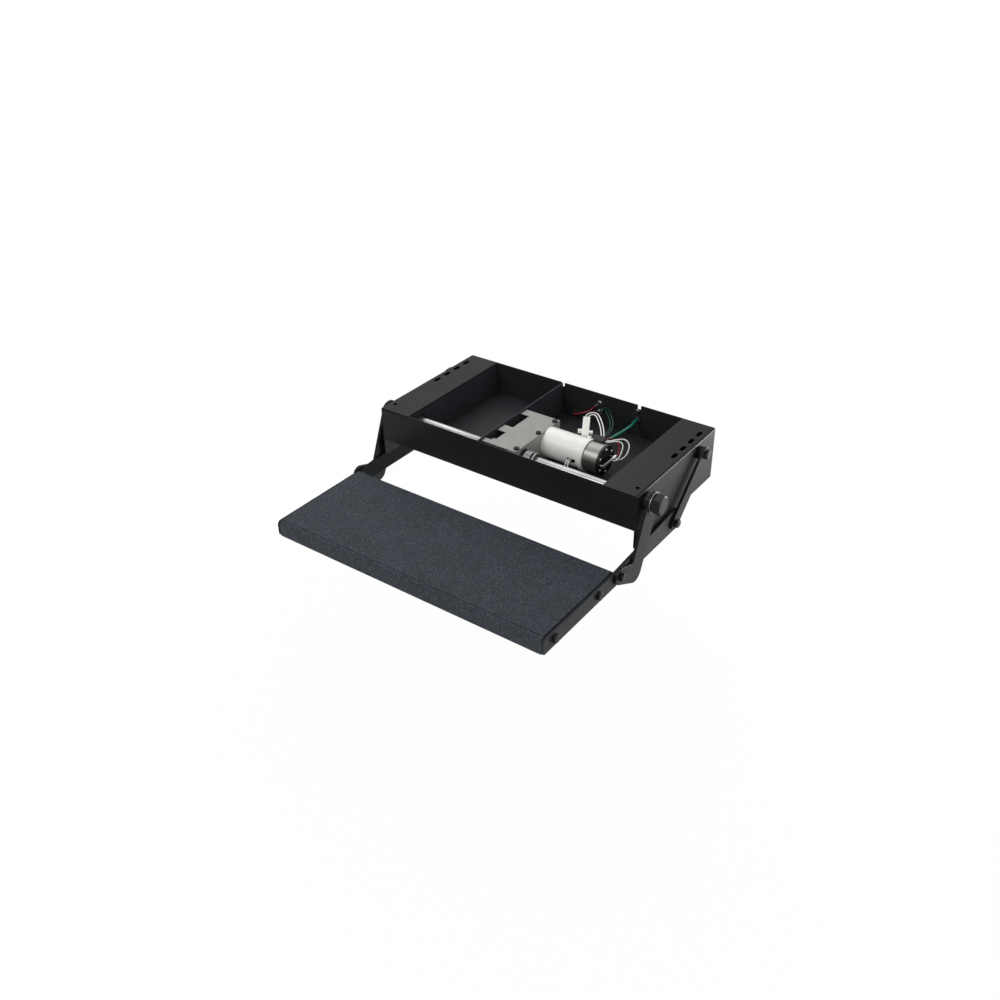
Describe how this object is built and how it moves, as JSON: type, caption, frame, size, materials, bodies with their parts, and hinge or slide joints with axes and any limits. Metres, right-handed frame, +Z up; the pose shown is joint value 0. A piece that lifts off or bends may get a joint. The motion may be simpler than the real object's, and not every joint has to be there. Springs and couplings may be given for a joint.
{
  "type": "caravan entry step",
  "caption": "Motor-driven swing-out caravan entry step: a flanged steel housing with a geared motor turns two arms that carry a level grit-covered tread.",
  "frame": {"origin": "midway between the two front mounting holes, on the top face of the flanges", "axes": "+X to the right, +Y to the rear (into the vehicle), +Z up"},
  "size_m": [0.656, 0.611, 0.171],
  "materials": {
    "black_steel": "semi-gloss powder coat",
    "galvanised_steel": "galvanised sheet",
    "black_fastener": "black oxide",
    "bush_plastic": "moulded acetal",
    "white_paint": "satin paint",
    "bright_steel": "bright zinc plate",
    "magnet": "sintered ferrite",
    "winding": "varnished winding on steel core",
    "black_plastic": "moulded",
    "black_rubber": "moulded",
    "white_plastic": "moulded nylon",
    "tin": "tinned",
    "grit": "mineral grit on adhesive sheet",
    "white_insulation": "extruded",
    "red_insulation": "extruded",
    "green_insulation": "extruded"
  },
  "bodies": {
    "housing": {"left_side_panel": "black_steel", "right_side_panel": "black_steel", "left_inner_wall": "black_steel", "right_inner_wall": "black_steel", "front_panel": "black_steel", "rear_panel": "black_steel", "floor_pan": "black_steel", "partition": "black_steel", "gear_cover": "galvanised_steel", "motor_plate": "galvanised_steel", "cover_bolts": "black_fastener", "rear_pivot_bolts": "black_fastener", "rear_pivot_nuts": "black_fastener", "outer_shaft_bushes": "bush_plastic", "inner_shaft_bushes": "bush_plastic", "crank_bush": "bush_plastic", "gear_can": "white_paint", "motor_housing": "bright_steel", "terminal_bridge": "bright_steel", "end_plate_screws": "bright_steel", "rear_panel_screws": "bright_steel", "motor_magnets": "magnet", "end_plate": "black_plastic", "terminal_block": "black_plastic", "limit_switch": "black_plastic", "cable_grommets": "black_rubber", "connector": "white_plastic", "ring_terminals": "tin", "white_wire_a": "white_insulation", "white_wire_b": "white_insulation", "white_loop_a": "white_insulation", "white_loop_b": "white_insulation", "switch_wire": "white_insulation", "red_wire": "red_insulation", "red_lead": "red_insulation", "green_wire_a": "green_insulation", "green_wire_b": "green_insulation", "green_cable": "green_insulation"},
    "drive_arms": {"drive_shaft": "bright_steel", "left_front_arm": "black_steel", "right_front_arm": "black_steel", "arm_washers": "black_fastener", "arm_bolts": "black_fastener", "drive_lever": "bright_steel", "shaft_spring": "bright_steel", "spring_collar": "bright_steel"},
    "left_rear_arm": {"left_rear_arm": "black_steel"},
    "right_rear_arm": {"right_rear_arm": "black_steel"},
    "tread": {"tread_deck": "black_steel", "tread_grip": "grit", "left_rail": "black_steel", "right_rail": "black_steel", "rail_bolts": "black_fastener", "tread_pins": "black_fastener"},
    "drive_link": {"drive_link": "bright_steel"},
    "output_crank": {"motor_crank": "bright_steel", "output_carrier": "bright_steel"},
    "armature": {"armature": "winding"},
    "upper_planet": {"upper_planet": "bright_steel"},
    "lower_planet": {"lower_planet": "bright_steel"}
  },
  "joints": [
    {"name": "arm_swing", "type": "hinge", "parent": "housing", "child": "drive_arms", "pos_m": [0, 0.011, -0.027], "axis": [1, 0, 0], "range_deg": [0, 90]},
    {"name": "tread_level", "type": "hinge", "parent": "drive_arms", "child": "tread", "pos_m": [0, -0.095, -0.127], "axis": [1, 0, 0], "range_deg": [-90, 0]},
    {"name": "left_rear_swing", "type": "hinge", "parent": "housing", "child": "left_rear_arm", "pos_m": [0, 0.214, -0.024], "axis": [1, 0, 0], "range_deg": [0, 90]},
    {"name": "right_rear_swing", "type": "hinge", "parent": "housing", "child": "right_rear_arm", "pos_m": [0, 0.214, -0.024], "axis": [1, 0, 0], "range_deg": [0, 90]},
    {"name": "link_level", "type": "hinge", "parent": "drive_arms", "child": "drive_link", "pos_m": [0, -0.00739, -0.04539], "axis": [1, 0, 0], "range_deg": [-90, 0]},
    {"name": "crank_turn", "type": "hinge", "parent": "housing", "child": "output_crank", "pos_m": [0, 0.099, -0.034], "axis": [1, 0, 0], "range_deg": [0, 90]},
    {"name": "upper_planet_spin", "type": "hinge", "parent": "output_crank", "child": "upper_planet", "pos_m": [0, 0.099, -0.019], "axis": [1, 0, 0], "range_deg": [-240, 0]},
    {"name": "lower_planet_spin", "type": "hinge", "parent": "output_crank", "child": "lower_planet", "pos_m": [0, 0.099, -0.049], "axis": [1, 0, 0], "range_deg": [-240, 0]},
    {"name": "armature_spin", "type": "hinge", "parent": "housing", "child": "armature", "pos_m": [0, 0.099, -0.034], "axis": [1, 0, 0], "range_deg": [0, 450]}
  ],
  "couplings": [
    {"joint": "tread_level", "follows": "arm_swing", "ratio": -1},
    {"joint": "left_rear_swing", "follows": "arm_swing", "ratio": 1},
    {"joint": "right_rear_swing", "follows": "arm_swing", "ratio": 1},
    {"joint": "link_level", "follows": "arm_swing", "ratio": -1},
    {"joint": "crank_turn", "follows": "arm_swing", "ratio": 1},
    {"joint": "upper_planet_spin", "follows": "arm_swing", "ratio": -2.6667},
    {"joint": "lower_planet_spin", "follows": "arm_swing", "ratio": -2.6667},
    {"joint": "armature_spin", "follows": "arm_swing", "ratio": 5}
  ]
}
